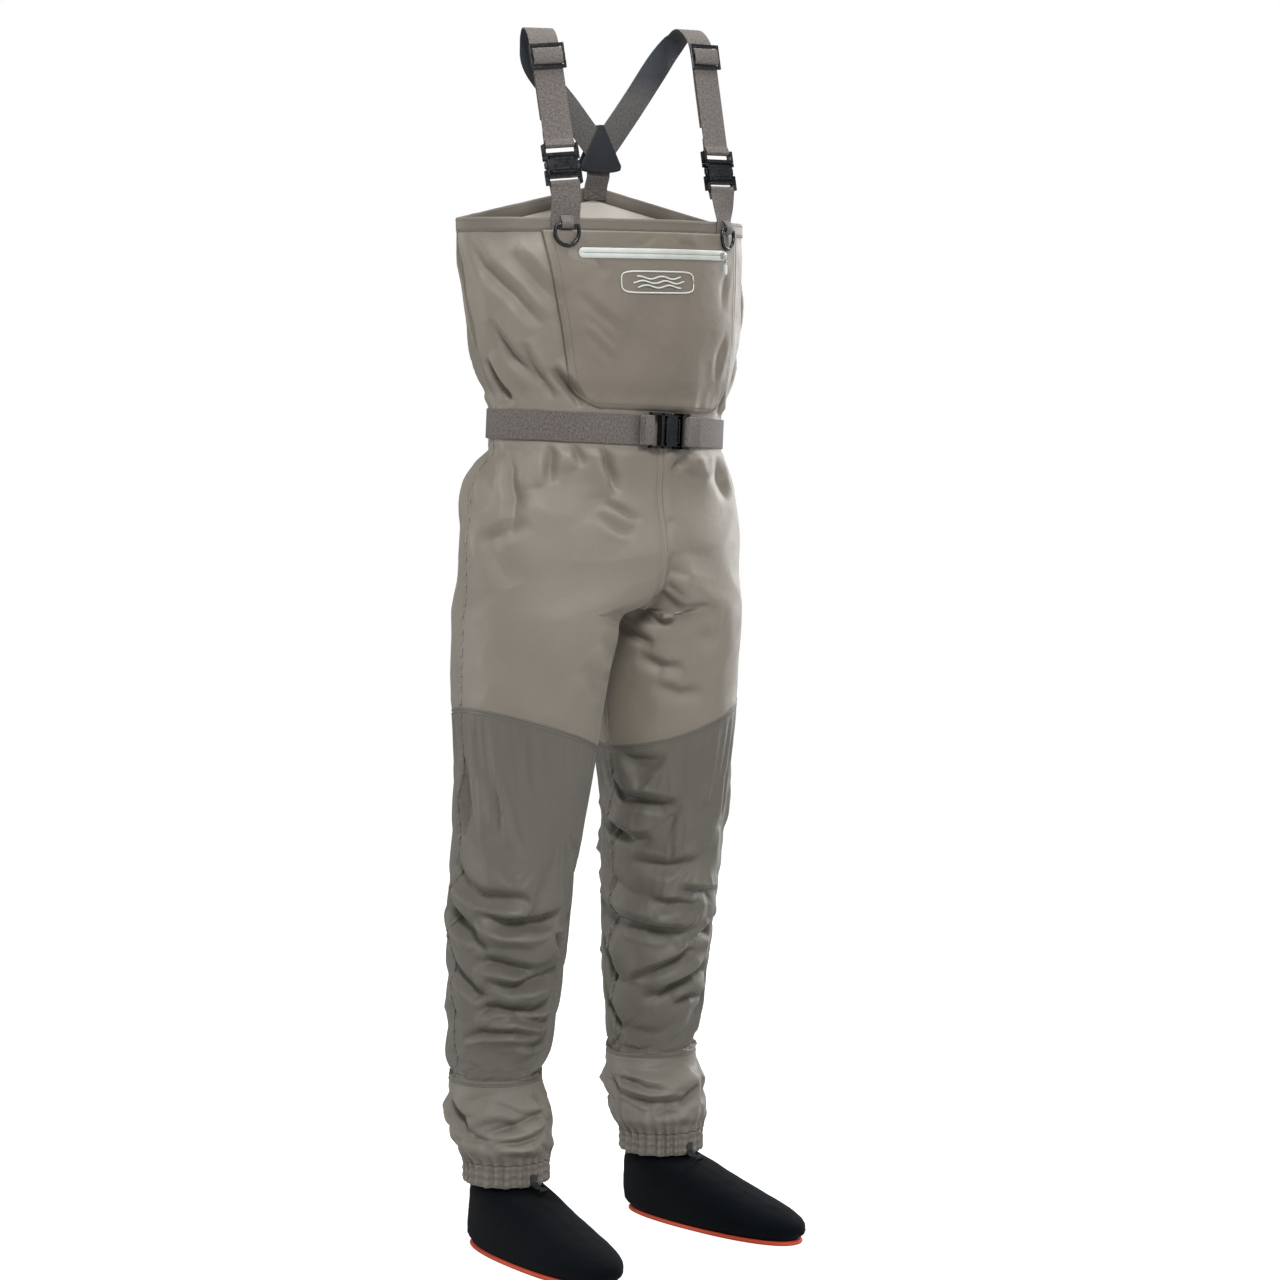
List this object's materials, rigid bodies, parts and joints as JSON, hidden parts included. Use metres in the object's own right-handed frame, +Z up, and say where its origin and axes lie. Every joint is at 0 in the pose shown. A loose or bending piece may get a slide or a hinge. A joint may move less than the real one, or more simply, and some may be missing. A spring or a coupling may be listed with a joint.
{
  "type": "chest waders",
  "caption": "Stocking-foot chest waders with adjustable shoulder straps, release buckles, waist belt, zipped chest pocket, gravel guards and neoprene socks",
  "frame": {"origin": "on the floor under the middle of the standing waders' bounding box", "axes": "+Z up, the wearer faces -Y, the wearer's left hand is at +X"},
  "size_m": [0.4652, 0.3415, 1.5969],
  "materials": {
    "shell_cloth": "satin laminated cloth",
    "pocket_cloth": "satin laminated cloth, browner",
    "hem_cloth": "bound and stitched edge",
    "knee_cloth": "heavier dark reinforcement cloth",
    "guard_cloth": "gathered light cloth",
    "webbing": "ribbed woven webbing",
    "black_plastic": "fine moulded texture",
    "navy_patch": "smooth coated cloth",
    "sock_neoprene": "knit-faced neoprene",
    "sole_rubber": "matt",
    "zip_tape": "welded water-resistant tape",
    "zip_metal": "plated",
    "reflective": "silver print"
  },
  "bodies": {
    "waders": {"bib_front": "shell_cloth", "bib_back": "shell_cloth", "bib_hem": "hem_cloth", "chest_pocket": "pocket_cloth", "pocket_patch": "reflective", "zip_tape": "zip_tape", "belt_webbing": "webbing", "belt_buckle_female": "black_plastic", "belt_female_loop": "webbing", "y_patch_inner": "navy_patch", "y_patch_outer": "navy_patch", "back_strap": "webbing", "hang_loop": "navy_patch", "trouser_right": "shell_cloth", "shin_panel_right": "knee_cloth", "ankle_tube_right": "knee_cloth", "gravel_guard_right": "guard_cloth", "sock_right": "sock_neoprene", "sole_right": "sole_rubber", "shoulder_buckle_female_right": "black_plastic", "shoulder_strap_right": "webbing", "strap_anchor_right": "webbing", "ring_tab_right": "webbing", "belt_loop_right": "shell_cloth", "trouser_left": "shell_cloth", "shin_panel_left": "knee_cloth", "ankle_tube_left": "knee_cloth", "gravel_guard_left": "guard_cloth", "sock_left": "sock_neoprene", "sole_left": "sole_rubber", "shoulder_buckle_female_left": "black_plastic", "shoulder_strap_left": "webbing", "strap_anchor_left": "webbing", "ring_tab_left": "webbing", "belt_loop_left": "shell_cloth"},
    "zip_slider": {"zip_slider": "zip_metal"},
    "zip_puller": {"zip_puller": "zip_metal"},
    "strap_adjuster_right": {"strap_slider_right": "black_plastic", "slider_loop_right": "webbing"},
    "shoulder_male_right": {"shoulder_buckle_male_right": "black_plastic", "strap_front_layer_right": "webbing"},
    "shoulder_prong_outer_right": {"shoulder_prong_outer_right": "black_plastic"},
    "shoulder_prong_inner_right": {"shoulder_prong_inner_right": "black_plastic"},
    "strap_adjuster_left": {"strap_slider_left": "black_plastic", "slider_loop_left": "webbing"},
    "shoulder_male_left": {"shoulder_buckle_male_left": "black_plastic", "strap_front_layer_left": "webbing"},
    "shoulder_prong_outer_left": {"shoulder_prong_outer_left": "black_plastic"},
    "shoulder_prong_inner_left": {"shoulder_prong_inner_left": "black_plastic"},
    "belt_male": {"belt_buckle_male": "black_plastic", "belt_male_loop": "webbing"},
    "belt_prong_upper": {"belt_prong_upper": "black_plastic"},
    "belt_prong_lower": {"belt_prong_lower": "black_plastic"},
    "d_ring_right": {"d_ring_right": "black_plastic"},
    "d_ring_left": {"d_ring_left": "black_plastic"},
    "cuff_right": {"guard_cuff_right": "guard_cloth", "lace_hook_right": "black_plastic"},
    "cuff_left": {"guard_cuff_left": "guard_cloth", "lace_hook_left": "black_plastic"}
  },
  "joints": [
    {"name": "zip_travel", "type": "hinge", "parent": "waders", "child": "zip_slider", "pos_m": [0, 0.32365, 1.299], "axis": [0, 0, 1], "range_deg": [-33, 0]},
    {"name": "zip_puller_swing", "type": "hinge", "parent": "zip_slider", "child": "zip_puller", "pos_m": [0.11798, -0.06978, 1.299], "axis": [-0.9579, -0.2872, 0], "range_deg": [0, 95]},
    {"name": "strap_adjust_right", "type": "slide", "parent": "waders", "child": "strap_adjuster_right", "axis": [0.0092, -0.201, -0.9795], "range_m": [0, 0.055]},
    {"name": "shoulder_release_right", "type": "slide", "parent": "waders", "child": "shoulder_male_right", "axis": [-0.0092, 0.201, 0.9795], "range_m": [0, 0.025]},
    {"name": "shoulder_prong_outer_right_flex", "type": "hinge", "parent": "shoulder_male_right", "child": "shoulder_prong_outer_right", "pos_m": [-0.14981, -0.03638, 1.41833], "axis": [-0.3682, -0.9114, 0.1835], "range_deg": [0, 8], "stiffness_Nm_per_rad": 0.02},
    {"name": "shoulder_prong_inner_right_flex", "type": "hinge", "parent": "shoulder_male_right", "child": "shoulder_prong_inner_right", "pos_m": [-0.12564, -0.04572, 1.42048], "axis": [0.3682, 0.9114, -0.1835], "range_deg": [0, 8], "stiffness_Nm_per_rad": 0.02},
    {"name": "strap_adjust_left", "type": "slide", "parent": "waders", "child": "strap_adjuster_left", "axis": [-0.0092, -0.201, -0.9795], "range_m": [0, 0.055]},
    {"name": "shoulder_release_left", "type": "slide", "parent": "waders", "child": "shoulder_male_left", "axis": [0.0092, 0.201, 0.9795], "range_m": [0, 0.025]},
    {"name": "shoulder_prong_outer_left_flex", "type": "hinge", "parent": "shoulder_male_left", "child": "shoulder_prong_outer_left", "pos_m": [0.1437, -0.04173, 1.41942], "axis": [0.0513, 0.9782, -0.2012], "range_deg": [0, 8], "stiffness_Nm_per_rad": 0.02},
    {"name": "shoulder_prong_inner_left_flex", "type": "hinge", "parent": "shoulder_male_left", "child": "shoulder_prong_inner_left", "pos_m": [0.11774, -0.04037, 1.41939], "axis": [-0.0513, -0.9782, 0.2012], "range_deg": [0, 8], "stiffness_Nm_per_rad": 0.02},
    {"name": "belt_release", "type": "slide", "parent": "waders", "child": "belt_male", "axis": [-0.9985, 0, 0.0549], "range_m": [0, 0.028]},
    {"name": "belt_prong_upper_flex", "type": "hinge", "parent": "belt_male", "child": "belt_prong_upper", "pos_m": [-0.0053, -0.08553, 1.08681], "axis": [0, 1, 0], "range_deg": [0, 8], "stiffness_Nm_per_rad": 0.02},
    {"name": "belt_prong_lower_flex", "type": "hinge", "parent": "belt_male", "child": "belt_prong_lower", "pos_m": [-0.00667, -0.08553, 1.06185], "axis": [0, -1, 0], "range_deg": [0, 8], "stiffness_Nm_per_rad": 0.02},
    {"name": "d_ring_swing_right", "type": "hinge", "parent": "waders", "child": "d_ring_right", "pos_m": [-0.14008, -0.0561, 1.333], "axis": [-0.9343, 0.3566, 0], "range_deg": [0, 110]},
    {"name": "d_ring_swing_left", "type": "hinge", "parent": "waders", "child": "d_ring_left", "pos_m": [0.13287, -0.05875, 1.333], "axis": [-0.943, -0.3327, 0], "range_deg": [0, 110]},
    {"name": "cuff_lift_right", "type": "slide", "parent": "waders", "child": "cuff_right", "axis": [0, 0, 1], "range_m": [0, 0.05], "deforming": ["gravel_guard_right"]},
    {"name": "cuff_lift_left", "type": "slide", "parent": "waders", "child": "cuff_left", "axis": [0, 0, 1], "range_m": [0, 0.05], "deforming": ["gravel_guard_left"]}
  ],
  "couplings": [
    {"joint": "shoulder_prong_inner_right_flex", "follows": "shoulder_prong_outer_right_flex", "ratio": 1},
    {"joint": "shoulder_prong_inner_left_flex", "follows": "shoulder_prong_outer_left_flex", "ratio": 1},
    {"joint": "belt_prong_lower_flex", "follows": "belt_prong_upper_flex", "ratio": 1}
  ]
}
